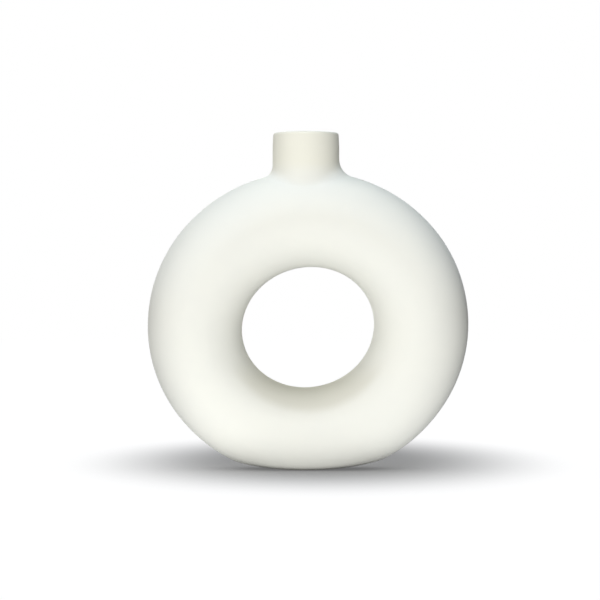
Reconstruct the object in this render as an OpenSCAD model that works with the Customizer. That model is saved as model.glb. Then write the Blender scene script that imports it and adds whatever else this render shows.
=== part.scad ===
// Ring vase: a hollow clay tube bent into a leaning oval, with a short round neck
// luted onto its crown and a foot pressed flat under it.
// Millimetres. +Z is up, the front of the ring faces -Y, and the origin is on the
// standing plane under the middle of the ring.

/* [Ring] */
// Outer size of the oval ring along its longer axis
ring_long = 130.6; // [124:0.1:140]
// Outer size of the oval ring along its shorter axis
ring_short = 125.2; // [118:0.1:134]
// Lean of the longer axis, up to the right as seen from the front
ring_lean = 10; // [0:1:14]
// Diameter of the tube that is bent into the ring
tube_d = 38.6; // [35:0.1:42]
// Thickness of the ring's clay wall
ring_wall = 4; // [3:0.1:5.5]

/* [Foot] */
// Height that is pressed off the bottom of the tube
foot_press = 4.4; // [3:0.1:5]
// Depth of the flat that the foot stands on, below its eased curve
foot_flat = 0.45; // [0.3:0.05:0.7]
// Radius of the eased curve under the foot, seen from the front
foot_ease_front = 120; // [112:1:180]
// Radius of the eased curve under the foot, seen from the side
foot_ease_side = 62; // [45:1:90]

/* [Neck] */
// Height of the rim over the crown of the ring
neck_rise = 15.1; // [11:0.1:30]
// Clear width of the mouth, inside the glaze
mouth_d = 20; // [15:0.1:22]
// Thickness of the neck's clay wall under the rim
neck_wall = 2.8; // [2.2:0.1:3.4]
// How much further out the neck's wall stands below its taper
neck_flare = 0.3; // [0:0.1:0.8]
// Length of the taper below the rim
taper_length = 7; // [4:0.1:8]
// Radius that softens both edges of the rim
lip_round = 0.8; // [0.4:0.1:1]
// Place of the neck to the right of the middle of the ring
neck_offset = -0.6; // [-3:0.1:3]
// Radius of the hollow curve between the neck and the ring
coil_round = 4.8; // [3:0.1:6]

/* [Joins and glaze] */
// Thickness of the fired slip between the two halves of the ring
half_slip = 0.4; // [0.3:0.1:0.8]
// Thickness of the fired slip under the neck
neck_slip = 0.4; // [0.3:0.1:0.8]
// Thickness of the glaze that lines the inside
glaze = 0.4; // [0.3:0.1:0.6]

/* [Hidden] */
$fn = 96;

// The oval is four arcs of 90 degrees that meet in line: two tight ones at the
// sides and two wide ones at the crown and the foot.
tube_r = tube_d / 2;
side_slim = 0.01;
side_overrun = 0.1;
bend_long = ring_long / 2 - tube_r;
bend_short = ring_short / 2 - tube_r;
arc_shift = (bend_long - bend_short) / (2 - sqrt(2));
side_bend = bend_long - arc_shift;
crown_bend = bend_short + arc_shift;
half_rise = bend_short + arc_shift * (1 - cos(ring_lean));
ring_z = half_rise + tube_r - foot_press;

// The crown arc bends about this point, seen from the front.
crown_x = arc_shift * sin(ring_lean);
crown_z = ring_z - arc_shift * cos(ring_lean);

channel_r = tube_r - ring_wall;
glazed_r = channel_r - glaze;
mouth_r = mouth_d / 2;
bore_r = mouth_r + glaze;
rim_r = bore_r + neck_wall;
neck_r = rim_r + neck_flare;
rim_z = ring_z + half_rise + tube_r + neck_rise;
heart_z = ring_z + half_rise;
foot_x = -crown_x;
glaze_top_z = rim_z - lip_round;

// Larger than the whole vase, for cuts and blanks
reach = 2 * (ring_long + neck_rise);

ring_clay = [0.95, 0.94, 0.89];
neck_clay = [0.95, 0.93, 0.86];
slip_clay = [0.93, 0.92, 0.86];
glaze_white = [0.97, 0.96, 0.93];

// One arc of the bent tube, sweeping the profile drawn as its child. The walls of the
// side arcs are a hair thinner and run on into the others, so that the four join as
// one body: $slim is what each face of the wall loses, overrun is degrees at each end.
module arc(middle, radius, turn, slim, overrun) {
    $slim = slim;
    translate([0, 0, ring_z])
        rotate([90, 0, 0])
            rotate(ring_lean + turn)
                translate([middle, 0, 0])
                    rotate(-45 - overrun)
                        rotate_extrude(angle = 90 + 2 * overrun)
                            translate([radius, 0])
                                children();
}

module right_arc() arc(arc_shift, side_bend, 0, side_slim, side_overrun) children();
module crown_arc() arc(-arc_shift, crown_bend, 90, 0, 0) children();
module left_arc() arc(arc_shift, side_bend, 180, side_slim, side_overrun) children();
module foot_arc() arc(-arc_shift, crown_bend, 270, 0, 0) children();

// The outside and the inside of a wall across the tube
module disc(r)
    circle(r = r - $slim);

module hollow(r)
    circle(r = r + $slim);

// What hollows the foot arc out above its floor. It runs on past both ends.
module foot_channel(r, floor_z)
    intersection() {
        arc(-arc_shift, crown_bend, 270, 0, side_overrun) hollow(r);
        above(floor_z);
    }

// Everything higher than z
module above(z)
    translate([-reach / 2, -reach / 2, z])
        cube(reach);

// The wider curve that the tube eases into before it meets the standing plane
module foot_ease()
    translate([foot_x, 0, foot_ease_front - foot_flat])
        rotate([90, 0, 0])
            rotate(-90 - 45)
                rotate_extrude(angle = 90)
                    translate([foot_ease_front - foot_ease_side, 0])
                        intersection() {
                            circle(r = foot_ease_side);
                            translate([0, -foot_ease_side])
                                square([foot_ease_side, 2 * foot_ease_side]);
                        }

// A disc of the tube's section between two planes, front side positive
module slice(r, from, to)
    intersection() {
        disc(r);
        translate([-reach / 2, from])
            square([reach, to - from]);
    }

// The neck's axis, from the middle of the tube under it up to z
module neck_core(r, top)
    translate([neck_offset, 0, heart_z])
        cylinder(r = r, h = top - heart_z);

// Clay wall of the ring: the child is the outside of its section
module ring_shell() {
    right_arc() wall_section() children();
    left_arc() wall_section() children();
    difference() {
        crown_arc() wall_section() children();
        neck_core(bore_r, rim_z);
    }
    difference() {
        intersection() {
            foot_arc() children();
            foot_ease();
            above(0);
        }
        foot_channel(channel_r, ring_wall);
    }
}

module wall_section()
    difference() {
        children();
        hollow(channel_r);
    }

module front_shell()
    color(ring_clay)
        ring_shell() slice(tube_r, half_slip / 2, tube_r);

module back_shell()
    color(ring_clay)
        ring_shell() slice(tube_r, -tube_r, -half_slip / 2);

// The slip that joins the halves, on one side of the tube: 1 is the outside of the
// ring, -1 is the side towards the hole
module slip_section(side)
    intersection() {
        slice(tube_r, -half_slip / 2, half_slip / 2);
        translate([side > 0 ? 0 : -tube_r, -tube_r])
            square([tube_r, tube_d]);
    }

module outer_seam()
    color(slip_clay)
        ring_shell() slip_section(1);

module hole_seam()
    color(slip_clay) {
        right_arc() wall_section() slip_section(-1);
        crown_arc() wall_section() slip_section(-1);
        left_arc() wall_section() slip_section(-1);
        foot_arc() wall_section() slip_section(-1);
    }

// Half of the neck's section: bore, rounded rim, taper and straight wall
module neck_section()
    difference() {
        polygon([
            [bore_r, heart_z], [neck_r, heart_z],
            [neck_r, rim_z - taper_length],
            [rim_r, rim_z], [bore_r, rim_z]
        ]);
        rim_corner(bore_r + lip_round, -1);
        rim_corner(rim_r - lip_round, 1);
    }

// What the sponge takes off one edge of the rim
module rim_corner(x, side)
    translate([x, rim_z - lip_round])
        difference() {
            translate([side > 0 ? 0 : -2 * lip_round, 0])
                square(2 * lip_round);
            circle(r = lip_round);
        }

module neck()
    color(neck_clay)
        difference() {
            translate([neck_offset, 0, 0])
                rotate_extrude()
                    neck_section();
            crown_arc() disc(tube_r + neck_slip);
        }

module neck_seam()
    color(slip_clay)
        difference() {
            intersection() {
                neck_core(neck_r, rim_z);
                crown_arc() disc(tube_r + neck_slip);
            }
            crown_arc() disc(tube_r);
            neck_core(bore_r, rim_z);
        }

// The coil is worked to the curve of a ball that rolls round the neck while it
// touches both the neck and the crown. The ball's middle at each turn:
coil_turns = 48;
coil_steps = 6;
coil_depth = 0.65 * coil_round;
feather = 0.12;
feather_angle = acos(1 - feather / coil_round);

function ball_middle(turn) =
    let (out = neck_r + coil_round,
         x = neck_offset - crown_x + out * cos(turn),
         y = out * sin(turn),
         lift = crown_bend + sqrt(pow(tube_r + coil_round, 2) - y * y))
    [crown_x + x, y, crown_z + sqrt(lift * lift - x * x)];

// The nearest point on the tube's own middle line
function tube_middle(p) =
    let (away = [p.x - crown_x, 0, p.z - crown_z])
    [crown_x, 0, crown_z] + away * crown_bend / norm(away);

function unit(v) = v / norm(v);

function swing(a, b, angle) =
    let (full = acos(a * b))
    (a * sin(full - angle) + b * sin(angle)) / sin(full);

function coil_rib(turn) =
    let (middle = ball_middle(turn),
         to_neck = [-cos(turn), -sin(turn), 0],
         to_ring = unit(tube_middle(middle) - middle),
         full = acos(to_neck * to_ring),
         span = full - 2 * feather_angle)
    concat(
        [for (i = [0:coil_steps])
            middle + coil_round * swing(to_neck, to_ring, feather_angle + span * i / coil_steps)],
        [for (i = [coil_steps:-coil_steps / 2:0])
            middle + (coil_round + coil_depth)
                * swing(to_neck, to_ring, feather_angle + span * i / coil_steps)]
    );

module coil_blank() {
    ribs = [for (i = [0:coil_turns - 1]) coil_rib(360 * i / coil_turns)];
    count = len(ribs[0]);
    points = [for (rib = ribs) for (p = rib) p];
    faces = [
        for (i = [0:coil_turns - 1]) for (j = [0:count - 1])
            let (a = i * count + j,
                 b = i * count + (j + 1) % count,
                 c = ((i + 1) % coil_turns) * count + (j + 1) % count,
                 d = ((i + 1) % coil_turns) * count + j)
            each [[a, b, c], [a, c, d]]
    ];
    polyhedron(points = points, faces = faces, convexity = 6);
}

module neck_coil() {
    $fn = 360;
    color(neck_clay)
        difference() {
            coil_blank();
            neck_core(neck_r, rim_z);
            crown_arc() disc(tube_r);
        }
}

// The glaze runs all round the channel and up the bore to the rim's inner edge
module glaze_section()
    difference() {
        disc(channel_r);
        hollow(glazed_r);
    }

module liner()
    color(glaze_white) {
        right_arc() glaze_section();
        left_arc() glaze_section();
        difference() {
            union() {
                crown_arc() glaze_section();
                difference() {
                    neck_core(bore_r, glaze_top_z);
                    crown_arc() disc(channel_r);
                }
            }
            neck_core(mouth_r, rim_z);
        }
        difference() {
            intersection() {
                foot_arc() disc(channel_r);
                above(ring_wall);
            }
            foot_channel(glazed_r, ring_wall + glaze);
        }
    }

front_shell();
back_shell();
outer_seam();
hole_seam();
neck();
neck_seam();
neck_coil();
liner();
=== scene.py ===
# %% [markdown]
# # A ring vase in matte clay
# The packed model gives the real sizes of every clay part. This notebook dresses it for a
# photograph: fine skins for the hollow ring, its neck and the coil between them, a chalky clay
# finish, a glazed inside, and soft studio light on white paper. It runs from top to bottom.

# %% Load the packed vase
import math

import bmesh
import bpy
import numpy as np
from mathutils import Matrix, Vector, noise
from mathutils.bvhtree import BVHTree
from mathutils.kdtree import KDTree


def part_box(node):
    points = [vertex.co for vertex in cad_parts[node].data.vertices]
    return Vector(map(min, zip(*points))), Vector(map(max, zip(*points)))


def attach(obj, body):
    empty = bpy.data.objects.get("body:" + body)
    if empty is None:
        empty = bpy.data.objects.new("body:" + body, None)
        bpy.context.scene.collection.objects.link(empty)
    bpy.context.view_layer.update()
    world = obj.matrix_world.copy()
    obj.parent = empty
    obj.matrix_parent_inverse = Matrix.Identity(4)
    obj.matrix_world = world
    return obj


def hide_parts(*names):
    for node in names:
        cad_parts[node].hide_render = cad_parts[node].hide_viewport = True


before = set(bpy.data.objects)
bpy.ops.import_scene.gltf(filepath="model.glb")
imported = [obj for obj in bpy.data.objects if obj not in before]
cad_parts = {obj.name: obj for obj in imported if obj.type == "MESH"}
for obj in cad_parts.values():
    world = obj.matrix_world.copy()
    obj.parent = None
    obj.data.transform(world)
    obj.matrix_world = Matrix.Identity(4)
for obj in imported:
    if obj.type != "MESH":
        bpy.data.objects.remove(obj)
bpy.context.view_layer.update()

MM = 0.001
scene = bpy.context.scene


def in_mm(length):
    """A length in metres as a short number of millimetres, for printing."""
    return round(float(length) / MM, 2)


# %% [markdown]
# ## The camera comes first
# The vase is seen square to the ring, from a metre away and level with its upper half. A wide
# lens up close would swell the ring's near side, so a long lens far off is used, which keeps the
# outline nearly free of perspective. A lens is hard to guess and a width is easy to measure, so
# the width of the view at the vase is written here and the lens follows from it.

# %% Set the camera in front of the ring
CAMERA_AWAY = 1000 * MM
CAMERA_HEIGHT = 68.4 * MM
CAMERA_SIDE = -3.0 * MM
VIEW_WIDTH = 243.0 * MM
SENSOR_WIDTH = 36.0

camera_data = bpy.data.cameras.new("camera")
camera_data.sensor_width = SENSOR_WIDTH
camera_data.lens = SENSOR_WIDTH * CAMERA_AWAY / VIEW_WIDTH
camera = bpy.data.objects.new("camera", camera_data)
camera.location = (CAMERA_SIDE, -CAMERA_AWAY, CAMERA_HEIGHT)
camera.rotation_euler = (math.radians(90), 0, 0)
scene.collection.objects.link(camera)
scene.camera = camera
scene.view_settings.view_transform = "Standard"
print("lens", round(camera_data.lens, 1), "mm")

# %% [markdown]
# ## How the ring is bent
# The ring is a tube of clay whose middle line is a slightly leaning oval. It was pressed in two
# mould halves and stood up while it was still soft, so its crown is a little fatter than its
# foot. A formula for the middle line and one for the tube's radius give a skin that is smooth at
# any closeness, which a ring joined from a few arcs can't be. The places come from the frame:
# the seam round the hole gives the ring's middle, the front half gives the ring's depth and the
# gap at the seam, and the neck gives its own place and width.

# %% Read the places of the parts from the frame
RING_SINK = 0.30 * MM

half_low, half_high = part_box("front_shell")
seam_low, seam_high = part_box("hole_seam")
neck_low, neck_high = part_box("neck")

ring_middle_z = (seam_low.z + seam_high.z) / 2 - RING_SINK
half_depth = -half_low.y
half_gap = -half_high.y
neck_x = (neck_low.x + neck_high.x) / 2
neck_radius = (neck_high.x - neck_low.x) / 2
rim_z = neck_high.z
print("ring middle", in_mm(ring_middle_z), "depth", in_mm(2 * half_depth),
      "neck radius", in_mm(neck_radius), "rim", in_mm(rim_z))

# %% Walk along the middle line
RING_LONG = 45.87 * MM
RING_SHORT = 43.11 * MM
RING_LEAN = math.radians(9.5)
RING_SIDE = 0.25 * MM


def leaning(across, up):
    """Turns a place or a direction in the plane of the ring by the ring's lean."""
    c = math.cos(RING_LEAN)
    s = math.sin(RING_LEAN)
    return c * across - s * up, s * across + c * up


def middle_line(turns):
    """Points and outward directions in the XZ plane for turns round the ring, in radians."""
    x, z = leaning(RING_LONG * np.cos(turns), RING_SHORT * np.sin(turns))
    out_across = RING_SHORT * np.cos(turns)
    out_up = RING_LONG * np.sin(turns)
    length = np.hypot(out_across, out_up)
    out_x, out_z = leaning(out_across / length, out_up / length)
    flat = np.zeros_like(x)
    point = np.stack([x + RING_SIDE, flat, z + ring_middle_z], axis=-1)
    outward = np.stack([out_x, flat, out_z], axis=-1)
    return point, outward


crown_point, crown_out = middle_line(np.array([math.radians(90) - RING_LEAN]))
print("the middle line runs", in_mm(crown_point[0, 2]), "mm over the table near its crown")

# %% Say how thick the tube is
TUBE_RADIUS = 19.05 * MM
CROWN_SWELL = 0.55 * MM
SIDE_SWELL = 0.11 * MM
LEAN_SLIM = 0.20 * MM


def tube_radius(outward):
    """The tube's radius in the plane of the ring: most under the neck, least at the foot."""
    right = outward[..., 0]
    up = outward[..., 2]
    swell = CROWN_SWELL * up + SIDE_SWELL * (1 - 2 * up * up)
    return TUBE_RADIUS + swell - 2 * LEAN_SLIM * right * up


print("crown of the tube at", in_mm(crown_point[0, 2] + tube_radius(crown_out)[0]), "mm")

# %% [markdown]
# ## The foot
# A round tube would roll, so the leather-hard ring is set down and pressed until its underside
# is nearly flat. Seen from the front the underside is a shallow curve with a small flat in its
# middle that touches the table. Cutting the tube with a plane would leave a sharp rim round the
# flat. A bowl-shaped height under the foot, joined to the tube by a soft maximum, gives the
# eased edge of pressed clay without a crease.

# %% Shape the underside
FOOT_X = -0.8 * MM
FOOT_CURVE_FRONT = 120 * MM
FOOT_CURVE_SIDE = 62 * MM
FOOT_FLAT = 0.45 * MM
FLAT_EASE = 0.08 * MM


def soft_max(a, b, ease):
    """The larger of two heights, rounded where they cross."""
    return (a + b + np.sqrt((a - b) ** 2 + ease ** 2)) / 2


def foot_height(x, y):
    """Height of the underside over the table: a bowl with a small flat in its middle."""
    bowl = (x - FOOT_X) ** 2 / (2 * FOOT_CURVE_FRONT) + y ** 2 / (2 * FOOT_CURVE_SIDE)
    lowest = soft_max(-FOOT_FLAT, 0, FLAT_EASE)
    return soft_max(bowl - FOOT_FLAT, 0, FLAT_EASE) - lowest


print("height of the underside 20 mm from its middle:",
      in_mm(foot_height(FOOT_X + 20 * MM, 0.0)), "mm")

# %% Press the foot of a skin
FOOT_EASE = 0.7 * MM
FOOT_REACH = 8 * FOOT_EASE


def press_foot(points, floor):
    """Raises the lowest points of a skin to the foot's height plus a floor thickness.

    A soft maximum still adds a hair where the pressing ends, so that much is taken off.
    """
    height = foot_height(points[..., 0], points[..., 1]) + floor
    raised = soft_max(points[..., 2], height, FOOT_EASE)
    level_off = FOOT_EASE ** 2 / (4 * FOOT_REACH)
    near = points[..., 2] < height + FOOT_REACH
    pressed = points.copy()
    pressed[..., 2] = np.where(near, np.maximum(raised - level_off, height), points[..., 2])
    return pressed


print("the pressing reaches", in_mm(FOOT_REACH), "mm up the tube")

# %% [markdown]
# ## One skin for the whole ring
# On the real pot the two halves and the slip between them are one surface. Separate tubes would
# have to be fitted to each other. So the outside is made once, as a grid of points over the
# whole tube, and each half and each seam takes its own columns of it: their edges then meet to
# the last digit. The channel inside is a second grid with the same rows and columns.

# %% Lay the rows of the grid, one for each turn round the ring
TURN_STEPS = 360

turns = np.linspace(0, 2 * math.pi, TURN_STEPS, endpoint=False)
line, outward = middle_line(turns)
radii = tube_radius(outward)
print("tube radius from", in_mm(radii.min()), "to", in_mm(radii.max()), "mm")

# %% Lay the columns of the grid, across the tube
HALF_STEPS = 60
SEAM_STEPS = 2


def stretch(start, end, steps):
    """Angles from start up to end, without end itself."""
    return np.linspace(start, end, steps + 1)[:-1]


def columns(edge):
    """Angles across the tube. The seam round the outside comes first, then the front half."""
    return np.concatenate([
        stretch(-edge, edge, SEAM_STEPS),
        stretch(edge, math.pi - edge, HALF_STEPS),
        stretch(math.pi - edge, math.pi + edge, SEAM_STEPS),
        stretch(math.pi + edge, 2 * math.pi - edge, HALF_STEPS),
    ])


def tube_grid(in_plane, depth):
    """A grid of points, one row for each turn: in_plane is the radius at each turn."""
    across = columns(math.asin(half_gap / depth))
    out = outward[:, None, :] * (in_plane[:, None] * np.cos(across)[None, :])[..., None]
    front = np.zeros_like(out)
    front[..., 1] = -depth * np.sin(across)[None, :]
    return line[:, None, :] + out + front


round_skin = tube_grid(radii, half_depth)
print("grid of", round_skin.shape[0], "rows and", round_skin.shape[1], "columns")

# %% Find which way the skin faces
def grid_directions(points):
    """Outward unit normals of a grid that closes both ways."""
    along = np.roll(points, -1, axis=0) - np.roll(points, 1, axis=0)
    across = np.roll(points, -1, axis=1) - np.roll(points, 1, axis=1)
    normal = np.cross(along, across)
    unit = normal / np.linalg.norm(normal, axis=-1, keepdims=True)
    facing = np.sum(unit[0, SEAM_STEPS // 2] * outward[0])
    return -unit if facing < 0 else unit


round_directions = grid_directions(round_skin)
print("the first row faces", np.round(round_directions[0, SEAM_STEPS // 2], 3))

# %% [markdown]
# ## Hollows from the sponge
# A sponge leaves very shallow hollows in wet clay, which show only in how the light rolls. Bump
# in the material could fake them, but it leaves the outline and the exported mesh dead even. So
# a slow noise lowers the skin itself, by a tenth of a millimetre or so. It never raises the skin,
# so the vase stays inside its box, and the edges at the seams keep their places, so the seams
# stay straight.

# %% Lower the skin by a slow noise, and press its foot
HOLLOW_DEPTH = 0.16 * MM
HOLLOW_SIZE = 26 * MM


def hollows(points, directions):
    """Lowers each point by a slow noise, never raises it."""
    lowered = points.copy()
    for index in np.ndindex(points.shape[:2]):
        place = Vector(points[index]) / HOLLOW_SIZE
        drop = HOLLOW_DEPTH * (0.5 + 0.5 * noise.noise(place))
        lowered[index] -= directions[index] * drop
    return lowered


skin = press_foot(hollows(round_skin, round_directions), 0.0)
print("skin of", skin.shape[0] * skin.shape[1], "points, x from",
      in_mm(skin[..., 0].min()), "to", in_mm(skin[..., 0].max()))

# %% Keep the seams straight
SAME_PLACE = 1e-6 * MM

on_edge = np.abs(np.abs(round_skin[..., 1]) - half_gap) < SAME_PLACE
skin[..., 1] = np.where(on_edge, round_skin[..., 1], skin[..., 1])
skin_directions = grid_directions(skin)
skin_points = skin.reshape(-1, 3)
skin_ways = skin_directions.reshape(-1, 3)
print(int(on_edge.sum()), "points lie on the edges of the seams")

# %% Make the channel inside
WALL = 4.0 * MM
CHANNEL_RADIUS = 15.34 * MM

channel = press_foot(tube_grid(np.full(TURN_STEPS, CHANNEL_RADIUS), CHANNEL_RADIUS), WALL)
print("floor of the channel at", in_mm(channel[..., 2].min()), "mm")

# %% [markdown]
# ## From grids to pieces
# Clay has a thickness, so a piece is two strips of grid, one outside and one inside, joined along
# their edges. A Solidify modifier could thicken a single skin, but it can't give the inside a
# radius and a flat floor of its own.

# %% Join the points of a grid with faces
def grid_faces(rows, count, closed=True):
    """Four-cornered faces over rows that close on themselves. Closed rows meet end to end too."""
    faces = []
    for row in range(rows if closed else rows - 1):
        a = row * count
        b = ((row + 1) % rows) * count
        for k in range(count):
            n = (k + 1) % count
            faces.append((a + k, a + n, b + n, b + k))
    return faces


def add_piece(name, points, faces):
    """A new mesh object in the scene."""
    mesh = bpy.data.meshes.new(name)
    mesh.from_pydata([tuple(p) for p in points], [], faces)
    mesh.update()
    piece = bpy.data.objects.new(name, mesh)
    scene.collection.objects.link(piece)
    return piece


print("the whole skin would have", len(grid_faces(*skin.shape[:2])), "faces")

# %% Sweep a solid between two strips of grid
def swept_solid(name, outer, inner, closed=True):
    """A closed solid between an outer and an inner strip of grid, row by row."""
    ring = np.concatenate([outer, inner[:, ::-1]], axis=1)
    rows, count = ring.shape[:2]
    faces = grid_faces(rows, count, closed)
    if not closed:
        last = (rows - 1) * count
        faces.append(tuple(range(count))[::-1])
        faces.append(tuple(last + k for k in range(count)))
    return add_piece(name, ring.reshape(-1, 3), faces)


def face_outward(piece):
    """Turns the faces of a closed piece the right way out."""
    b = bmesh.new()
    b.from_mesh(piece.data)
    bmesh.ops.recalc_face_normals(b, faces=b.faces)
    b.to_mesh(piece.data)
    b.free()


print("a half will be", HALF_STEPS, "faces wide outside and as many inside")

# %% [markdown]
# ## One shading for all pieces of the skin
# The fettled ring shows no line where its pieces meet. Each piece alone would guess its own
# shading at its edges, and a hard line would show at every join. So each corner that lies on the
# skin is given the skin's own direction, found by its place, and only the cut edges stay crisp.

# %% Lend a piece the skin's shading
ON_SKIN = 0.02 * MM
SAME_SIDE = 0.8


def shade_like(piece, points, directions, reach):
    """Gives every corner that lies on a known skin that skin's direction; others stay crisp."""
    tree = KDTree(len(points))
    for i, p in enumerate(points):
        tree.insert(p, i)
    tree.balance()
    mesh = piece.data
    mesh.shade_smooth()
    found = [tree.find(v.co) for v in mesh.vertices]
    on_skin = [f[2] < reach for f in found]
    normals = [(0.0, 0.0, 0.0)] * len(mesh.loops)
    matched = 0
    for face in mesh.polygons:
        if all(on_skin[v] for v in face.vertices):
            facing = Vector(directions[found[face.vertices[0]][1]]).dot(face.normal)
            if facing > SAME_SIDE:
                matched += 1
                for loop in face.loop_indices:
                    nearest = found[mesh.loops[loop].vertex_index][1]
                    normals[loop] = tuple(directions[nearest])
                continue
        face.use_smooth = False
    mesh.normals_split_custom_set(normals)
    print(piece.name, "has", len(mesh.vertices), "points and", matched, "of",
          len(mesh.polygons), "faces on the skin")


print("a corner counts as on the skin within", in_mm(ON_SKIN), "mm")

# %% [markdown]
# ## The two mould halves
# Each half is a gutter of clay 4 mm thick: outside skin, inside skin, and two flat rims that were
# scored and joined with slip. The bore under the neck was cut through both with a round cutter
# once they were joined. Faces could be left out there instead, but the hole would have a stepped
# edge, so it is cut by a Boolean with a fine cylinder.

# %% Make the round cutter for the bore
BORE_RADIUS = 10.4 * MM
CUTTER_START = 2 * MM
CUTTER_STEPS = 160


def round_bar(name, x, radius, low, high, steps):
    """An upright bar with flat ends."""
    points = []
    for z in (low, high):
        for k in range(steps):
            angle = 2 * math.pi * k / steps
            points.append((x + radius * math.cos(angle), radius * math.sin(angle), z))
    faces = [(k, (k + 1) % steps, steps + (k + 1) % steps, steps + k) for k in range(steps)]
    faces.append(tuple(range(steps))[::-1])
    faces.append(tuple(range(steps, 2 * steps)))
    return add_piece(name, points, faces)


cutter_low = ring_middle_z + RING_SHORT - CUTTER_START
cutter = round_bar("cutter", neck_x, BORE_RADIUS, cutter_low, rim_z, CUTTER_STEPS)
print("the cutter is", in_mm(2 * BORE_RADIUS), "mm across")

# %% Make the halves and cut the bore
def take(grid, start, count):
    """Columns of a grid that closes on itself."""
    return grid[:, [(start + k) % grid.shape[1] for k in range(count)]]


def cut(piece, cutter):
    """Applies one exact Boolean and keeps its result as the piece's mesh."""
    modifier = piece.modifiers.new("cut", "BOOLEAN")
    modifier.operation = "DIFFERENCE"
    modifier.solver = "EXACT"
    modifier.object = cutter
    shape = piece.evaluated_get(bpy.context.evaluated_depsgraph_get())
    mesh = bpy.data.meshes.new_from_object(shape)
    piece.modifiers.clear()
    piece.data = mesh


first_columns = {"front_shell": SEAM_STEPS, "back_shell": 2 * SEAM_STEPS + HALF_STEPS}
halves = {}
for node, start in first_columns.items():
    outside = take(skin, start, HALF_STEPS + 1)
    inside = take(channel, start, HALF_STEPS + 1)
    half = swept_solid(node + "_clay", outside, inside)
    face_outward(half)
    cut(half, cutter)
    shade_like(half, skin_points, skin_ways, ON_SKIN)
    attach(half, "root")
    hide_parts(node)
    halves[node] = half
bpy.data.objects.remove(cutter)

# %% [markdown]
# ## The slip in the seams
# Liquid clay joins the halves. Outside and inside the ring it was scraped flush when it had
# stiffened, so it is only a thin line that is a shade paler. A line painted on the halves would
# show it too, but here each seam is a real bar as thick as the wall, from the same grid, so it
# lies flush without any fitting. The outer one stops at the bore, where the cutter went through.

# %% Find the rows that the outer seam keeps
bore_rows = [i for i in range(TURN_STEPS)
             if abs(skin[i, 0, 0] - neck_x) < BORE_RADIUS and skin[i, 0, 2] > ring_middle_z]
first_row = max(bore_rows) + 1
open_rows = [(first_row + k) % TURN_STEPS for k in range(TURN_STEPS - len(bore_rows))]
all_rows = list(range(TURN_STEPS))
print("outer seam runs over", len(open_rows), "of", TURN_STEPS, "rows")

# %% Make the two seams
seams = {}
for node, start, rows in (("outer_seam", 0, open_rows),
                          ("hole_seam", SEAM_STEPS + HALF_STEPS, all_rows)):
    outside = take(skin, start, SEAM_STEPS + 1)[rows]
    inside = take(channel, start, SEAM_STEPS + 1)[rows]
    seam = swept_solid(node + "_slip", outside, inside, closed=rows is all_rows)
    face_outward(seam)
    shade_like(seam, skin_points, skin_ways, ON_SKIN)
    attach(seam, "root")
    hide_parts(node)
    seams[node] = seam

# %% [markdown]
# ## The neck
# The neck is a collar thrown on the wheel: straight below, drawn in a little at the top, and
# wiped round at the rim with a sponge. Its foot was cut to a saddle to sit on the crown. A
# straight cylinder sunk into the ring would look the same from far off, but it would pass
# through the wall. So a turned profile gives the collar, and a ray dropped on the ring's skin
# finds the saddle.

# %% Find the ring under the neck
ring_skin = BVHTree.FromPolygons([Vector(p) for p in skin_points], grid_faces(*skin.shape[:2]))


def crown_height(x, y):
    """Height of the ring's skin at a place under the neck."""
    hit = ring_skin.ray_cast(Vector((x, y, rim_z)), Vector((0, 0, -1)))
    return hit[0].z


print("crown at the neck's axis:", in_mm(crown_height(neck_x, 0)), "mm")

# %% Draw the wiped rim
LIP_ROUND = 0.8 * MM
LIP_STEPS = 8
LIP_DOME = 0.06 * MM
TAPER = 0.3 * MM

lip_z = rim_z - LIP_DOME - LIP_ROUND
rim_radius = neck_radius - TAPER


def lip_arc(middle_radius, start, end):
    """Points of a rounded edge, as radius and height."""
    points = []
    for k in range(LIP_STEPS + 1):
        angle = math.radians(start + (end - start) * k / LIP_STEPS)
        out = middle_radius + LIP_ROUND * math.cos(angle)
        points.append((out, lip_z + LIP_ROUND * math.sin(angle)))
    return points


outer_lip = lip_arc(rim_radius - LIP_ROUND, 0, 90)
inner_lip = lip_arc(BORE_RADIUS + LIP_ROUND, 90, 180)
lip_middle = ((outer_lip[-1][0] + inner_lip[0][0]) / 2, rim_z)
print("the rim is", in_mm(2 * rim_radius), "mm across and", in_mm(rim_radius - BORE_RADIUS),
      "mm thick")

# %% Draw the neck's wall up to the rim
TAPER_LENGTH = 7.0 * MM
TAPER_BEND = 1.5
TAPER_STEPS = 14

taper_low = rim_z - TAPER_LENGTH


def taper_wall():
    """The outside from the straight wall up to the lip, drawn in along a soft curve."""
    points = []
    for k in range(TAPER_STEPS):
        z = taper_low + (lip_z - taper_low) * k / TAPER_STEPS
        drawn_in = ((z - taper_low) / TAPER_LENGTH) ** TAPER_BEND
        points.append((neck_radius - TAPER * drawn_in, z))
    return points


profile = taper_wall() + outer_lip + [lip_middle] + inner_lip
print("the neck's profile has", len(profile), "points")

# %% Swing rows of points round the neck's axis
NECK_STEPS = 256
NECK_ANGLES = [2 * math.pi * k / NECK_STEPS for k in range(NECK_STEPS)]


def beside_axis(radius, angle):
    """The place at a radius and an angle round the neck's axis, seen from above."""
    return neck_x + radius * math.cos(angle), radius * math.sin(angle)


def turned(points, angle):
    """A profile's points swung round the neck's axis."""
    return [(*beside_axis(r, angle), z) for r, z in points]


def lathe(name, row_maker):
    """Joins rows of points made round the neck into a closed solid."""
    rows = [row_maker(angle) for angle in NECK_ANGLES]
    faces = [(a, d, c, b) for a, b, c, d in grid_faces(NECK_STEPS, len(rows[0]))]
    return add_piece(name, [p for row in rows for p in row], faces)


def smooth_by_angle(piece, degrees):
    """Smooth shading that keeps real corners crisp."""
    face_outward(piece)
    piece.data.shade_smooth()
    piece.data.set_sharp_from_angle(angle=math.radians(degrees))


print("turned pieces have", NECK_STEPS, "steps")

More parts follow.
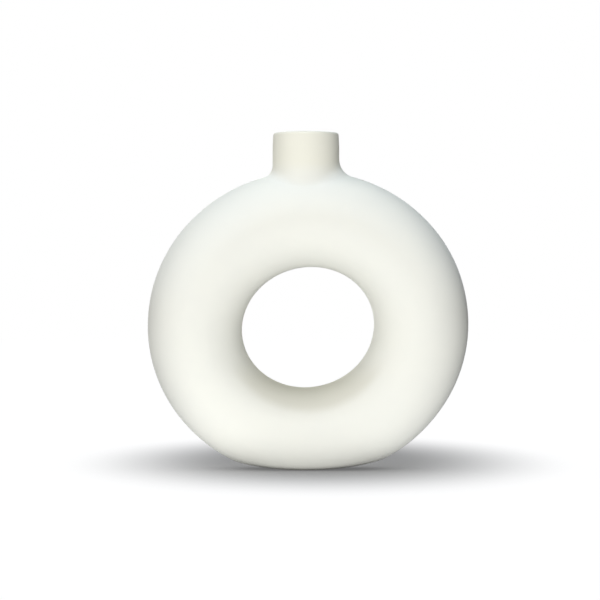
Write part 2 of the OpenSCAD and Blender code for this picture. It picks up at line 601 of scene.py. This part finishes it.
# %% Turn the neck
NECK_SLIP = 0.4 * MM
SEAT_RADII = [neck_radius, (neck_radius + BORE_RADIUS) / 2, BORE_RADIUS]
WALL_STEPS = 4
CRISP_CORNER = 35


def collar_row(angle):
    """One upright section of the neck, from the saddle up, over the rim and down again."""
    low, middle, inner = [crown_height(*beside_axis(r, angle)) + NECK_SLIP for r in SEAT_RADII]
    wall = [(neck_radius, low + (taper_low - low) * k / WALL_STEPS) for k in range(WALL_STEPS)]
    saddle = [(SEAT_RADII[2], inner), (SEAT_RADII[1], middle)]
    return turned(wall + profile + saddle, angle)


neck = lathe("neck_collar", collar_row)
smooth_by_angle(neck, CRISP_CORNER)
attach(neck, "root")
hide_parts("neck")
print("neck:", len(neck.data.vertices), "points")

# %% Lay the slip under the neck
def slip_row(angle):
    """The slip's section: a thin layer on the saddle between the bore and the neck's outside."""
    seat = [(r, crown_height(*beside_axis(r, angle))) for r in SEAT_RADII]
    return turned([(r, z + NECK_SLIP) for r, z in seat] + seat[::-1], angle)


neck_slip = lathe("neck_seam_slip", slip_row)
smooth_by_angle(neck_slip, CRISP_CORNER)
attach(neck_slip, "root")
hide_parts("neck_seam")
print("slip under the neck:", len(neck_slip.data.vertices), "points")

# %% [markdown]
# ## The coil in the corner
# A thin coil of clay is pressed into the corner between the neck and the ring and drawn smooth
# with a round tool, so the corner becomes a hollow curve. A Bevel modifier would need the neck
# and the ring to be one mesh. The curve is also the path of a ball that rolls round the neck and
# touches both, which can be worked out for each turn: its height is found by halving steps, and
# the clay fills what is behind the ball. The ball is larger on the right, where the coil was
# drawn out wider.

# %% Roll the ball round the neck
COIL_RADIUS = 5.0 * MM
COIL_GAIN = 2.4 * MM
HALVINGS = 40


def ball_radius(angle):
    """The ball's radius grows smoothly from the left of the neck to its right."""
    return COIL_RADIUS + COIL_GAIN * (0.5 + 0.5 * math.cos(angle)) ** 2


def ball_middle(angle):
    """The middle of the ball where it touches the neck and the ring."""
    radius = ball_radius(angle)
    x, y = beside_axis(neck_radius + radius, angle)
    low = crown_height(x, y)
    high = rim_z
    for _ in range(HALVINGS):
        z = (low + high) / 2
        away = ring_skin.find_nearest(Vector((x, y, z)))[3]
        if away < radius:
            low = z
        else:
            high = z
    return Vector((x, y, high))


print("the ball's radius is", in_mm(ball_radius(math.pi)), "mm on the left and",
      in_mm(ball_radius(0)), "mm on the right")

# %% Fill the corner behind the ball
COIL_STEPS = 14
COIL_DEPTH = 0.5 * MM


def coil_row(angle):
    """The coil's section: the hollow curve on the outside and a buried corner behind it."""
    middle = ball_middle(angle)
    touch = ring_skin.find_nearest(middle)[0]
    to_ring = (touch - middle).normalized()
    to_neck = Vector((-math.cos(angle), -math.sin(angle), 0))
    turning = [to_neck.slerp(to_ring, k / COIL_STEPS) for k in range(COIL_STEPS + 1)]
    curve = [middle + ball_radius(angle) * way for way in turning]
    x, y = beside_axis(neck_radius - COIL_DEPTH, angle)
    corner = Vector((x, y, crown_height(x, y) - COIL_DEPTH))
    upper = curve[0] + COIL_DEPTH * to_neck
    outer = curve[-1] + COIL_DEPTH * to_ring
    return curve + [outer, corner, upper]


coil = lathe("neck_coil_clay", coil_row)
face_outward(coil)
print("coil:", len(coil.data.vertices), "points")

# %% Shade the coil as the ball left it
ON_COIL = 0.002 * MM

coil_points = []
coil_ways = []
for angle in NECK_ANGLES:
    middle = ball_middle(angle)
    for point in coil_row(angle)[:COIL_STEPS + 1]:
        coil_points.append(point)
        coil_ways.append((middle - point).normalized())
shade_like(coil, coil_points, coil_ways, ON_COIL)
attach(coil, "root")
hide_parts("neck_coil")

# %% [markdown]
# ## The glaze's edge at the mouth
# Glaze that was poured out of the mouth stays a little thicker where it stops on the inner lip,
# and it melts to a rounded edge. The packed lining ends square, and its mesh isn't changed, so a
# small turned bead covers that end: it starts as a feather on the clay, rolls over the shoulder
# and runs down into the bore.

# %% Roll the glaze over the lip
BEAD_START = 0.35 * MM
BEAD_SHOULDER = 0.80 * MM
BEAD_OUTER = BORE_RADIUS + 0.19 * MM
BEAD_INNER = BORE_RADIUS - 0.415 * MM
BEAD_STRAIGHT = 2.0 * MM
BEAD_END = 3.0 * MM
BEAD_END_INNER = BORE_RADIUS - 0.36 * MM
BEAD_END_OUTER = BORE_RADIUS - 0.10 * MM
BEAD_STEPS = 9
BEAD_CORNER = 40


def bead_row(angle):
    """The bead's section: a rounded shoulder, a wall down the bore and a back inside the clay."""
    points = []
    for k in range(BEAD_STEPS + 1):
        swing = math.radians(90) * k / BEAD_STEPS
        out = BEAD_OUTER - (BEAD_OUTER - BEAD_INNER) * math.sin(swing)
        rise = (BEAD_SHOULDER - BEAD_START) * math.cos(swing)
        points.append((out, rim_z - BEAD_SHOULDER + rise))
    points.append((BEAD_INNER, rim_z - BEAD_STRAIGHT))
    points.append((BEAD_END_INNER, rim_z - BEAD_END))
    points.append((BEAD_END_OUTER, rim_z - BEAD_END))
    points.append((BEAD_OUTER, rim_z - BEAD_SHOULDER))
    return turned(points, angle)


bead = lathe("glaze_bead", bead_row)
smooth_by_angle(bead, BEAD_CORNER)
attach(bead, "root")
print("bead:", len(bead.data.vertices), "points")

# %% [markdown]
# ## Shader maths in plain Python
# A finish is easier to read as an expression than as a list of links. One small class stands for
# a number on its way through the shader: adding, subtracting or multiplying it places a Math
# node. A second class is the bench where a finish is mixed, with one method that adds any node.

# %% A number in a shader
class Value:
    """One number socket. + - * work with numbers and with other values, on both sides."""

    def __init__(self, bench, socket):
        self.bench = bench
        self.socket = socket

    def math(self, operation, first, second):
        node = self.bench.node("ShaderNodeMath", {"operation": operation}, {0: first, 1: second})
        return Value(self.bench, node.outputs[0])

    def __add__(self, other):
        return self.math("ADD", self, other)

    __radd__ = __add__

    def __sub__(self, other):
        return self.math("SUBTRACT", self, other)

    def __rsub__(self, other):
        return self.math("SUBTRACT", other, self)

    def __mul__(self, other):
        return self.math("MULTIPLY", self, other)

    __rmul__ = __mul__

    def at_most(self, limit):
        return self.math("MINIMUM", self, limit)


print("a plain number may come first in:", [name for name in vars(Value) if name[:3] == "__r"])

# %% The bench that mixes a finish
class Bench:
    """The place where one material, or the world, is mixed."""

    def __init__(self, owner, output="ShaderNodeOutputMaterial"):
        self.owner = owner
        owner.use_nodes = True
        self.tree = owner.node_tree
        self.tree.nodes.clear()
        self.out = self.node(output)

    def node(self, kind, settings=None, sockets=None):
        """Adds a node: settings are set first, then values or links go to its sockets."""
        node = self.tree.nodes.new(kind)
        for key, setting in (settings or {}).items():
            setattr(node, key, setting)
        for key, given in (sockets or {}).items():
            target = node.inputs[key]
            if isinstance(given, Value):
                self.tree.links.new(given.socket, target)
            elif isinstance(given, bpy.types.NodeSocket):
                self.tree.links.new(given, target)
            else:
                target.default_value = given
        return node

    def value(self, node, output=0):
        """A node's output as a number that Python can add and multiply."""
        return Value(self, node.outputs[output])

    def show(self, shader):
        """Sends the finished shader to the output, and gives back what was mixed."""
        self.tree.links.new(shader, self.out.inputs["Surface"])
        return self.owner


print("the bench can do:", [name for name in vars(Bench) if name[:2] != "__"])

# %% Measure places on the vase
def place_on(bench):
    """The point on the object, in metres from the middle of the vase's standing plane."""
    return bench.node("ShaderNodeTexCoord").outputs["Object"]


def vector(bench, operation, sockets):
    return bench.node("ShaderNodeVectorMath", {"operation": operation}, sockets)


def stretched(bench, place, factors):
    """A place with each direction multiplied by its own factor."""
    return vector(bench, "MULTIPLY", {0: place, 1: factors}).outputs[0]


def distance_from(bench, middle, place, factors):
    """How far a place is from a middle, once each direction is stretched."""
    offset = vector(bench, "SUBTRACT", {0: place, 1: middle}).outputs[0]
    length = vector(bench, "LENGTH", {0: stretched(bench, offset, factors)})
    return bench.value(length, "Value")


print("the ring's middle is", in_mm(ring_middle_z), "mm over the standing plane")

# %% Make uneven clouds and soft edges
def cloud(bench, place, size, detail, roughness):
    """Noise between 0 and 1 whose spots are about the given size in metres."""
    sockets = {"Vector": place, "Scale": 1 / size, "Detail": detail, "Roughness": roughness}
    return bench.value(bench.node("ShaderNodeTexNoise", {}, sockets), "Fac")


def between(bench, value, low, high):
    """0 below low, 1 above high, and a soft rise between them."""
    settings = {"interpolation_type": "SMOOTHSTEP"}
    sockets = {"Value": value, "From Min": low, "From Max": high}
    return bench.value(bench.node("ShaderNodeMapRange", settings, sockets), "Result")


print("spots of 5 mm need a noise scale of", round(1 / (5 * MM)))

# %% Blend colours and tilt the surface
MIX_COLOURS = (6, 7)
MIX_RESULT = 2


def blend(bench, amount, first, second):
    """A colour between two colours. The Mix node keeps its colours in sockets of their own."""
    sockets = {0: amount, MIX_COLOURS[0]: first, MIX_COLOURS[1]: second}
    return bench.node("ShaderNodeMix", {"data_type": "RGBA"}, sockets).outputs[MIX_RESULT]


def bump(bench, height, distance, strength, below=None):
    """A surface direction tilted by a height, on top of the direction below it."""
    sockets = {"Height": height, "Distance": distance, "Strength": strength}
    if below is not None:
        sockets["Normal"] = below
    return bench.node("ShaderNodeBump", {}, sockets).outputs["Normal"]


print("the Mix node takes colours in sockets", MIX_COLOURS)

# %% [markdown]
# ## Matte clay
# The body is a white stoneware with a fine matte surface, like dry chalk. It has no gloss, so it
# wants high roughness and little reflection, and no shine at its edges. Its colour is a
# warm white that drifts by a hundredth or so. The neck is tinted a warmer cream, and the
# tint goes over into the ring along the coil. One even noise over everything would look like
# plaster, so marks are tied to places on the vase: fine grain everywhere, scraping along the
# seam, a rubbed, slightly grey foot, and a painted shade low in the hole, darker and warmer,
# where the upper ring shades the floor of the hole.

# %% Choose the colours of the clay
RING_WHITE = (0.880, 0.878, 0.810, 1)
RING_DRIFT = (0.862, 0.862, 0.800, 1)
NECK_CREAM = (0.872, 0.858, 0.752, 1)
FOOT_GREY = (0.770, 0.745, 0.680, 1)
SEAM_WHITE = (0.890, 0.886, 0.825, 1)
# A painted shade for the floor of the hole: a darker, warmer white where the upper ring shades it.
HOLE_SHADE_COLOUR = (0.790, 0.782, 0.700, 1)
print("the ring is", RING_WHITE[:3], "and the neck", NECK_CREAM[:3])

# %% Say how coarse each unevenness is
DRIFT = {"size": 34 * MM, "detail": 3.0, "roughness": 0.55}
MOTTLE = {"size": 5 * MM, "detail": 3.0, "roughness": 0.6}
GRAIN = {"size": 0.35 * MM, "detail": 4.0, "roughness": 0.65}
PITS = {"size": 0.9 * MM, "detail": 1.0, "roughness": 0.4}
PIT_LEVEL = (0.76, 0.84)
STREAKS = {"size": 0.4 * MM, "detail": 3.0, "roughness": 0.6}
ALONG_SEAM = (0.05, 1.0, 0.05)
SCUFFS = {"size": 0.5 * MM, "detail": 2.0, "roughness": 0.6}
ACROSS_FOOT = (0.08, 1.0, 1.0)


def clouds_on(bench, place):
    """Every unevenness of the clay by name, each from 0 to 1."""
    return {
        "drift": cloud(bench, place, **DRIFT),
        "mottle": cloud(bench, place, **MOTTLE),
        "grain": cloud(bench, place, **GRAIN),
        "pits": between(bench, cloud(bench, place, **PITS), *PIT_LEVEL),
        "streaks": cloud(bench, stretched(bench, place, ALONG_SEAM), **STREAKS),
        "scuffs": cloud(bench, stretched(bench, place, ACROSS_FOOT), **SCUFFS),
    }


print("streaks are", round(ALONG_SEAM[1] / ALONG_SEAM[0]), "times as long as they are wide")

# %% Say where each mark lies
CREAM_HEIGHT = (117.5 * MM, 126 * MM)
CREAM_WAVER = 2 * MM
# Where the painted shade in the hole lies: inside the hole's edge and low down.
HOLE_SHADE_DISTANCE = (32 * MM, 36.5 * MM)
HOLE_SHADE_WAVER = 1 * MM
HOLE_SHADE_HEIGHT = (ring_middle_z - 24 * MM, ring_middle_z - 12 * MM)
SEAM_DISTANCE = (0.3 * MM, 0.9 * MM)
RUB_HEIGHT = (0.1 * MM, 0.75 * MM)
RUB_WAVER = 0.25 * MM
RING_HEART = (0, 0, ring_middle_z)
IN_RING_PLANE = (1.0, 0.0, 1.0)


def marks_on(bench, place, clouds):
    """How strongly each mark shows, from 0 to 1, by its place on the vase."""
    parts = bench.node("ShaderNodeSeparateXYZ", {}, {0: place})
    depth = bench.value(parts, "Y")
    height = bench.value(parts, "Z")
    from_heart = distance_from(bench, RING_HEART, place, IN_RING_PLANE)
    past_hole = between(bench, from_heart + clouds["mottle"] * HOLE_SHADE_WAVER, *HOLE_SHADE_DISTANCE)
    off_seam = between(bench, depth * depth, *[edge ** 2 for edge in SEAM_DISTANCE])
    over_foot = between(bench, height + clouds["grain"] * RUB_WAVER, *RUB_HEIGHT)
    return {
        "cream": between(bench, height + clouds["mottle"] * CREAM_WAVER, *CREAM_HEIGHT),
        # Painted shade on the floor of the hole, not a mark of the clay.
        "hole_shade": (1 - past_hole) * (1 - between(bench, height, *HOLE_SHADE_HEIGHT)),
        "near_seam": 1 - off_seam,
        "rubbed": 1 - over_foot,
    }


print("cream from", in_mm(CREAM_HEIGHT[0]), "mm up, dust below", in_mm(HOLE_SHADE_HEIGHT[1]), "mm")

# %% Tint the clay
DRIFT_SHARE = 0.75
DRIFT_LEVEL = (0.35, 0.65)
SEAM_PALENESS = 0.25
RUB_LEAST = 0.55
PIT_SHADE = 0.10


def clay_colour(bench, clouds, marks, seam):
    """Warm white, then the neck's cream, the painted hole shade, the seam, the rubbed foot and the
    pits.
    """
    drifting = clouds["drift"] * DRIFT_SHARE + clouds["mottle"] * (1 - DRIFT_SHARE)
    colour = blend(bench, between(bench, drifting, *DRIFT_LEVEL), RING_WHITE, RING_DRIFT)
    colour = blend(bench, marks["cream"], colour, NECK_CREAM)
    # Paint the shade that the upper ring casts on the floor of the hole.
    colour = blend(bench, marks["hole_shade"], colour, HOLE_SHADE_COLOUR)
    colour = blend(bench, marks["near_seam"] * (SEAM_PALENESS + seam), colour, SEAM_WHITE)
    rubbed = marks["rubbed"] * (RUB_LEAST + (1 - RUB_LEAST) * clouds["mottle"])
    colour = blend(bench, rubbed, colour, FOOT_GREY)
    return blend(bench, clouds["pits"] * PIT_SHADE, colour, FOOT_GREY)


print("pits are tinted by", PIT_SHADE, "of the foot's grey")

# %% Roughen the clay
GRAIN_RISE = 0.5
MOTTLE_RISE = 0.35
PIT_DROP = 0.6
GRAIN_RELIEF = {"distance": 0.030 * MM, "strength": 0.6}
STREAK_RELIEF = {"distance": 0.05 * MM, "strength": 0.5}
SCUFF_RELIEF = {"distance": 0.06 * MM, "strength": 0.6}


def clay_surface(bench, clouds, marks):
    """Grain and pits everywhere, scraping along the seam and scuffs under the foot."""
    rise = clouds["grain"] * GRAIN_RISE + clouds["mottle"] * MOTTLE_RISE
    surface = bump(bench, rise - clouds["pits"] * PIT_DROP, **GRAIN_RELIEF)
    scraped = clouds["streaks"] * marks["near_seam"]
    surface = bump(bench, scraped, **STREAK_RELIEF, below=surface)
    return bump(bench, clouds["scuffs"] * marks["rubbed"], **SCUFF_RELIEF, below=surface)


print("the grain stands", in_mm(GRAIN_RELIEF["distance"]), "mm high")

# %% Mix the clay
MATTE = 0.80
GRAIN_ROUGHER = 0.08
RUB_ROUGHER = 0.06
SEAM_SMOOTHER = 0.05
CHALKY = 0.20
SLIP_PALENESS = 0.35


def clay(name, seam=0.0):
    """The clay of the vase. seam is how strongly the slip's paler line shows."""
    bench = Bench(bpy.data.materials.new(name))
    place = place_on(bench)
    clouds = clouds_on(bench, place)
    marks = marks_on(bench, place, clouds)
    rougher = clouds["grain"] * GRAIN_ROUGHER + marks["rubbed"] * RUB_ROUGHER
    shader = bench.node("ShaderNodeBsdfPrincipled", {}, {
        "Base Color": clay_colour(bench, clouds, marks, seam),
        "Roughness": MATTE + rougher - marks["near_seam"] * SEAM_SMOOTHER,
        "Normal": clay_surface(bench, clouds, marks),
        "Specular IOR Level": CHALKY,
    })
    return bench.show(shader.outputs[0])


ring_clay = clay("ring_clay_matte")
neck_clay = clay("neck_clay_matte")
slip_clay = clay("seam_slip_matte", seam=SLIP_PALENESS)
print("mixed", [m.name for m in (ring_clay, neck_clay, slip_clay)])

# %% [markdown]
# ## Clear glaze inside
# The inside was filled with clear glaze and poured out, which leaves a glassy skin that is a
# little thicker in the hollows. It shows only down the mouth, as a wet-looking wall with a soft
# highlight. Real glass over clay would need many rays for a thin film. A smooth coat over a pale
# base looks the same, with a slow ripple in its surface.

# %% Say how the glaze ran
GLAZE_PALE = (0.860, 0.850, 0.780, 1)
GLAZE_POOLED = (0.800, 0.800, 0.715, 1)
POOLS = {"size": 9 * MM, "detail": 2.0, "roughness": 0.5}
POOL_LEVEL = (0.35, 0.7)
RIPPLES = {"size": 4 * MM, "detail": 2.0, "roughness": 0.5}
DOWN_THE_WALL = (1.0, 1.0, 0.4)
PINHOLES = {"size": 1.1 * MM, "detail": 1.0, "roughness": 0.4}
PINHOLE_LEVEL = (0.74, 0.80)
GLAZE_RELIEF = {"distance": 0.12 * MM, "strength": 0.5}
print("pinholes lie about", in_mm(PINHOLES["size"]), "mm apart")

# %% Mix the glaze
GLASSY = 0.10
PINHOLE_ROUGHER = 0.10
POOL_ROUGHER = 0.05
PINHOLE_DROP = 0.5
COAT = 0.8
COAT_BROKEN = 0.5
COAT_ROUGHNESS = 0.04
GLAZE_SHINE = 0.5


def clear_glaze(name):
    """Pale base, darker where the glaze pooled, under a coat that pinholes break."""
    bench = Bench(bpy.data.materials.new(name))
    place = place_on(bench)
    pooled = between(bench, cloud(bench, place, **POOLS), *POOL_LEVEL)
    ripple = cloud(bench, stretched(bench, place, DOWN_THE_WALL), **RIPPLES)
    pinholes = between(bench, cloud(bench, place, **PINHOLES), *PINHOLE_LEVEL)
    shader = bench.node("ShaderNodeBsdfPrincipled", {}, {
        "Base Color": blend(bench, pooled, GLAZE_PALE, GLAZE_POOLED),
        "Roughness": GLASSY + PINHOLE_ROUGHER * pinholes + POOL_ROUGHER * pooled,
        "Normal": bump(bench, ripple - PINHOLE_DROP * pinholes, **GLAZE_RELIEF),
        "Coat Weight": COAT - COAT_BROKEN * pinholes,
        "Coat Roughness": COAT_ROUGHNESS,
        "Specular IOR Level": GLAZE_SHINE,
    })
    return bench.show(shader.outputs[0])


glaze = clear_glaze("inner_glaze_clear")
print("mixed", glaze.name)

# %% [markdown]
# ## Every piece gets its finish
# The slip fires to the same clay, only paler, and the coil gets the neck's cream finish. The
# packed parts could keep the colours that they came with, but they get the same finishes as the
# pieces that stand for them, so that the lining, which keeps its packed shape, is glazed too.

# %% Give every piece its finish
finishes = {
    "front_shell": ring_clay,
    "back_shell": ring_clay,
    "outer_seam": slip_clay,
    "hole_seam": slip_clay,
    "neck": neck_clay,
    "neck_coil": neck_clay,
    "neck_seam": slip_clay,
    "liner": glaze,
}
around_neck = {"neck": neck, "neck_coil": coil, "neck_seam": neck_slip, "liner": bead}
dressed = {**halves, **seams, **around_neck}
for node, material in finishes.items():
    for piece in (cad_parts[node], dressed[node]):
        piece.data.materials.clear()
        piece.data.materials.append(material)
print("finished", len(finishes), "parts")

# %% [markdown]
# ## White paper with a soft shadow
# The vase stands on white paper that keeps only its soft shadow. Lamps strong enough to burn the
# paper out to white would burn out the vase too. So a wide soft sun lights the paper alone and
# throws the vase's shadow on it, and a plain glow lifts the rest to white, so that paper and
# background meet without a line. Round the vase the glow fades in an oval: a painted shadow
# over the sun's real one. The light that the paper sends up to the vase comes from the same
# sheet without its glow, as a plain matte one with a painted shadow under the foot, a painted pool
# of light round it, and half as bright further out.

# %% Lay the paper
FLOOR_SIZE = 3000 * MM
FLOOR_DROP = 0.03 * MM

floor = add_piece("floor", [
    (-FLOOR_SIZE, -FLOOR_SIZE, -FLOOR_DROP), (FLOOR_SIZE, -FLOOR_SIZE, -FLOOR_DROP),
    (FLOOR_SIZE, FLOOR_SIZE, -FLOOR_DROP), (-FLOOR_SIZE, FLOOR_SIZE, -FLOOR_DROP),
], [(0, 1, 2, 3)])
print("the paper is", in_mm(2 * FLOOR_SIZE), "mm wide")

# %% Draw ovals on the paper
# SHADE_OVAL is a painted shadow: inside it the paper's glow fades round the vase.
SHADE_OVAL = {"middle": (5 * MM, 56 * MM, 0), "across": 110 * MM, "along": 208 * MM, "core": 0.28}
# The next two ovals paint the bounce: a painted shadow under the foot, a painted pool of light
# round it.
FOOT_SHADOW_OVAL = {"middle": (0, 0, 0), "across": 46 * MM, "along": 52.6 * MM, "core": 0.58}
LIGHT_POOL_OVAL = {"middle": (0, 0, 0), "across": 96 * MM, "along": 109.7 * MM, "core": 0.875}


def outside_oval(bench, middle, across, along, core):
    """0 in the core of an oval on the paper, 1 from its edge outwards, and a soft rise between."""
    away = distance_from(bench, middle, place_on(bench), (1 / across, 1 / along, 0))
    return between(bench, away, core, 1.0)


print("the shade is", in_mm(2 * SHADE_OVAL["across"]), "mm wide")

# %% Tell the camera's rays from the light's
SEES_WHITE = ("Is Camera Ray", "Is Glossy Ray", "Is Transmission Ray")


def seen_directly(bench):
    """1 for rays from the camera, and for mirror or glass rays that should see the same white."""
    path = bench.node("ShaderNodeLightPath")
    camera_ray, mirror_ray, glass_ray = [bench.value(path, ray) for ray in SEES_WHITE]
    return (camera_ray + mirror_ray + glass_ray).at_most(1.0)


print("rays that see the white:", SEES_WHITE)

# %% Make plain sheets and glows
def grey(level):
    return (level, level, level, 1)


def matte_sheet(bench, level):
    return bench.node("ShaderNodeBsdfDiffuse", {}, {"Color": grey(level)}).outputs[0]


def glowing(bench, level):
    return bench.node("ShaderNodeEmission", {}, {"Color": grey(1.0), "Strength": level}).outputs[0]


def mixed_shader(bench, factor, first, second):
    return bench.node("ShaderNodeMixShader", {}, {0: factor, 1: first, 2: second}).outputs[0]


print("a sheet's white is", grey(1.0))

# %% Say how bright the paper is
PAPER_SHARE = 0.16
GLOW_NEAR = 0.15
GLOW_FAR = 0.85
BOUNCE_IN_FOOT_SHADOW = 0.13
BOUNCE_LIGHT_POOL = 0.87
BOUNCE_FAR = 0.43
SUN_ON_PAPER = 0.80
print("in the vase's shade the paper shows at most", round(PAPER_SHARE + GLOW_NEAR, 2),
      "and far away", round(PAPER_SHARE + GLOW_FAR, 2))

# %% Finish the paper
paper = Bench(bpy.data.materials.new("white_paper"))
# Painted shadow: the glow is weak in the oval round the vase and full outside it.
shade = outside_oval(paper, **SHADE_OVAL)
glow = mixed_shader(paper, shade, glowing(paper, GLOW_NEAR), glowing(paper, GLOW_FAR))
lit = matte_sheet(paper, PAPER_SHARE / SUN_ON_PAPER)
shown = paper.node("ShaderNodeAddShader", {}, {0: lit, 1: glow}).outputs[0]

# Painted light for the bounce: a painted pool of light round the vase and a painted shadow under
# its foot.
pool = outside_oval(paper, **LIGHT_POOL_OVAL)
bounce = mixed_shader(paper, pool, matte_sheet(paper, BOUNCE_LIGHT_POOL), matte_sheet(paper, BOUNCE_FAR))
foot = outside_oval(paper, **FOOT_SHADOW_OVAL)
bounce = mixed_shader(paper, foot, matte_sheet(paper, BOUNCE_IN_FOOT_SHADOW), bounce)
finished_paper = paper.show(mixed_shader(paper, seen_directly(paper), bounce, shown))
floor.data.materials.append(finished_paper)
print("mixed", finished_paper.name)

# %% [markdown]
# ## Soft studio light
# The background is white to the camera and nearly dark to the vase, so it adds no light of its
# own. A bright dome would be simpler, but it would light the vase flat from all sides. Each lamp
# lights the vase alone, so that it can't spoil the paper, and still casts every shadow. A low
# key lamp a little to the left models the front, a small cool one overhead and a weak one at the
# top left give the crown its sheen, and two behind the vase light the inside of the hole and the
# back.

# %% Set the background
AMBIENT = (0.95, 0.97, 1.0, 1)
AMBIENT_LEVEL = 0.02

scene.world = bpy.data.worlds.new("studio")
sky = Bench(scene.world, "ShaderNodeOutputWorld")
white = sky.node("ShaderNodeBackground", {}, {"Color": grey(1.0), "Strength": 1.0}).outputs[0]
dim = sky.node("ShaderNodeBackground", {}, {"Color": AMBIENT, "Strength": AMBIENT_LEVEL}).outputs[0]
sky.show(mixed_shader(sky, seen_directly(sky), dim, white))
print("the room lights the vase at", AMBIENT_LEVEL, "of white")

# %% Say what each lamp may light
def group(name, pieces):
    """A set of pieces that a lamp may light. Every lamp still casts every shadow."""
    lit_pieces = bpy.data.collections.new(name)
    for piece in pieces:
        lit_pieces.objects.link(piece)
    return lit_pieces


vase = group("vase", [o for o in scene.objects if o.type == "MESH" and o != floor])
sheet = group("sheet", [floor])

# %% Hang the lamps round the vase
# Each lamp's place, its width and height in metres, its power in watts and its colour.
LAMPS = {
    "key": ((-0.15, -1.30, 0.05), (0.10, 0.10), 13.5, (1.0, 1.0, 0.99)),
    "overhead": ((0.0, 0.0, 0.90), (0.10, 0.10), 3.35, (0.75, 0.86, 1.0)),
    "left_top": ((-0.50, -0.10, 0.80), (0.20, 0.20), 0.90, (1.0, 0.97, 0.92)),
    "back_top": ((0.0, 0.50, 0.90), (0.30, 0.30), 1.3, (0.97, 1.0, 0.80)),
    "back_fill": ((-0.15, 1.30, 0.30), (2.20, 0.60), 16.0, (1.0, 0.99, 0.98)),
}


def softbox(name, place, size, power, colour):
    """A rectangular lamp that lights the vase alone and looks at the middle of the ring."""
    data = bpy.data.lights.new(name, "AREA")
    data.shape = "RECTANGLE"
    data.size, data.size_y = size
    data.energy = power
    data.color = colour
    lamp = bpy.data.objects.new(name, data)
    lamp.location = place
    towards = Vector(RING_HEART) - Vector(place)
    lamp.rotation_euler = towards.to_track_quat("-Z", "Y").to_euler()
    lamp.visible_camera = False
    lamp.light_linking.receiver_collection = vase
    scene.collection.objects.link(lamp)


for name, (place, size, power, colour) in LAMPS.items():
    softbox(name, place, size, power, colour)
print("lamps on the vase:", list(LAMPS))

# %% Let a wide sun light the paper
SUN_COLOUR = (0.94, 0.96, 1.0)
SUN_WIDTH = math.radians(150)
SUN_PLACE = (0, 0, 1)

paper_sun = bpy.data.lights.new("paper_sun", "SUN")
paper_sun.color = SUN_COLOUR
paper_sun.angle = SUN_WIDTH
paper_sun.energy = SUN_ON_PAPER * math.pi
paper_lamp = bpy.data.objects.new("paper_sun", paper_sun)
paper_lamp.location = SUN_PLACE
paper_lamp.light_linking.receiver_collection = sheet
scene.collection.objects.link(paper_lamp)

# %% [markdown] A dressed pot has to be as big as the packed one,
# or it won't fit where the packed one does.
